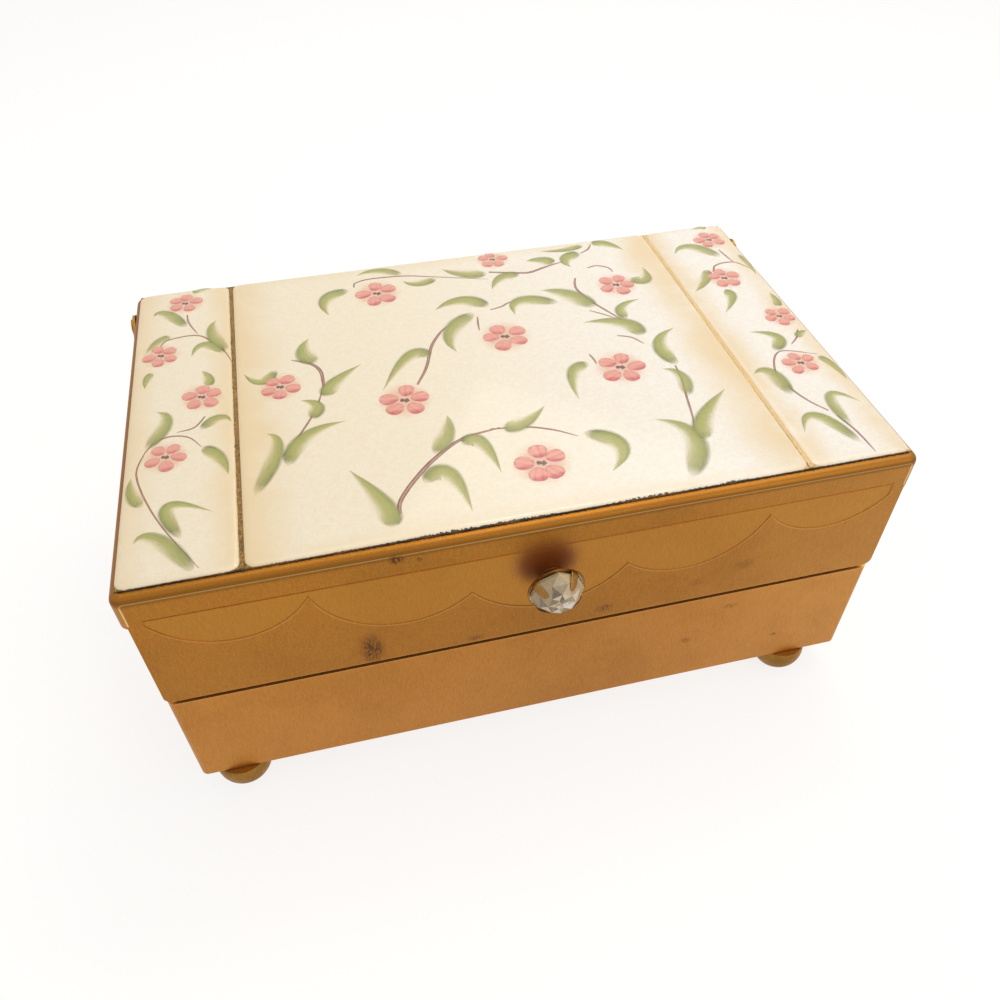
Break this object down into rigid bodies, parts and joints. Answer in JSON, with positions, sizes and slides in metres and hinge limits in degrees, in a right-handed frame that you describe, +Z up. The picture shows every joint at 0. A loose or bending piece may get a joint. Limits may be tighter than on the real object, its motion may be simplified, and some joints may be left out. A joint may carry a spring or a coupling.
{
  "type": "tiered jewelry box",
  "caption": "Small rectangular brass jewellery box on ball feet, with a painted panel lid, a glass knob and a lined tray that swings up and back on side arms as the lid opens.",
  "frame": {"origin": "on the ground, under the middle of the whole box's reach", "axes": "+X to the right, +Y to the back (the knob faces -Y), +Z up"},
  "size_m": [0.158, 0.109, 0.0698],
  "materials": {
    "sheet_brass": "brushed satin",
    "fitting_brass": "satin",
    "foot_brass": "polished, worn",
    "knob_brass": "polished",
    "knob_glass": "faceted, foil-backed",
    "panel_paint": "pearl white lacquer with painted vines",
    "dark_glue": "matt, chipped",
    "rose_velvet": "short velvet pile"
  },
  "bodies": {
    "base": {"base_shell": "sheet_brass", "base_lining": "rose_velvet", "base_divider_left": "rose_velvet", "base_divider_right": "rose_velvet", "foot_front_left": "foot_brass", "foot_front_right": "foot_brass", "foot_rear_left": "foot_brass", "foot_rear_right": "foot_brass", "foot_screws": "fitting_brass", "base_rivets": "fitting_brass"},
    "rear_arm_left": {"rear_arm_left": "fitting_brass", "link_rivet_left": "fitting_brass"},
    "rear_arm_right": {"rear_arm_right": "fitting_brass", "link_rivet_right": "fitting_brass"},
    "front_arm_left": {"front_arm_left": "fitting_brass"},
    "front_arm_right": {"front_arm_right": "fitting_brass"},
    "tray": {"tray_shell": "sheet_brass", "tray_lining": "rose_velvet", "tray_divider_long": "rose_velvet", "tray_divider_cross": "rose_velvet", "ring_rolls": "rose_velvet", "tray_rivets": "fitting_brass", "tray_hinge_left": "fitting_brass", "tray_hinge_right": "fitting_brass", "hinge_pin_left": "fitting_brass", "hinge_pin_right": "fitting_brass"},
    "lid": {"lid_shell": "sheet_brass", "lid_lining": "rose_velvet", "lid_hinge_left": "fitting_brass", "lid_hinge_right": "fitting_brass", "lid_rivets": "fitting_brass", "panel_glue": "dark_glue", "center_panel": "panel_paint", "side_panel_left": "panel_paint", "side_panel_right": "panel_paint", "knob_post": "knob_brass", "knob_setting": "knob_brass", "knob_stone": "knob_glass"},
    "lid_link_left": {"lid_link_left": "fitting_brass"},
    "lid_link_right": {"lid_link_right": "fitting_brass"}
  },
  "joints": [
    {"name": "rear_arm_left_swing", "type": "hinge", "parent": "base", "child": "rear_arm_left", "pos_m": [-0.07645, 0.0401, 0.031], "axis": [-1, 0, 0], "range_deg": [0, 95]},
    {"name": "rear_arm_right_swing", "type": "hinge", "parent": "base", "child": "rear_arm_right", "pos_m": [0.07645, 0.0401, 0.031], "axis": [-1, 0, 0], "range_deg": [0, 95]},
    {"name": "front_arm_left_swing", "type": "hinge", "parent": "base", "child": "front_arm_left", "pos_m": [-0.07645, -0.0079, 0.031], "axis": [-1, 0, 0], "range_deg": [0, 95]},
    {"name": "front_arm_right_swing", "type": "hinge", "parent": "base", "child": "front_arm_right", "pos_m": [0.07645, -0.0079, 0.031], "axis": [-1, 0, 0], "range_deg": [0, 95]},
    {"name": "tray_level", "type": "hinge", "parent": "rear_arm_left", "child": "tray", "pos_m": [-0.07645, 0.01654, 0.04199], "axis": [-1, 0, 0], "range_deg": [-95, 0]},
    {"name": "lid_open", "type": "hinge", "parent": "tray", "child": "lid", "pos_m": [0, 0.0529, 0.06103], "axis": [-1, 0, 0], "range_deg": [0, 95]},
    {"name": "link_left_turn", "type": "hinge", "parent": "rear_arm_left", "child": "lid_link_left", "pos_m": [-0.07805, 0.00802, 0.04596], "axis": [-1, 0, 0], "range_deg": [-95, 0]},
    {"name": "link_right_turn", "type": "hinge", "parent": "rear_arm_right", "child": "lid_link_right", "pos_m": [0.07805, 0.00802, 0.04596], "axis": [-1, 0, 0], "range_deg": [-95, 0]}
  ],
  "couplings": [
    {"joint": "rear_arm_right_swing", "follows": "rear_arm_left_swing", "ratio": 1},
    {"joint": "front_arm_left_swing", "follows": "rear_arm_left_swing", "ratio": 1},
    {"joint": "front_arm_right_swing", "follows": "rear_arm_left_swing", "ratio": 1},
    {"joint": "tray_level", "follows": "rear_arm_left_swing", "ratio": -1},
    {"joint": "lid_open", "follows": "rear_arm_left_swing", "ratio": 1},
    {"joint": "link_left_turn", "follows": "rear_arm_left_swing", "ratio": -1},
    {"joint": "link_right_turn", "follows": "rear_arm_left_swing", "ratio": -1}
  ]
}
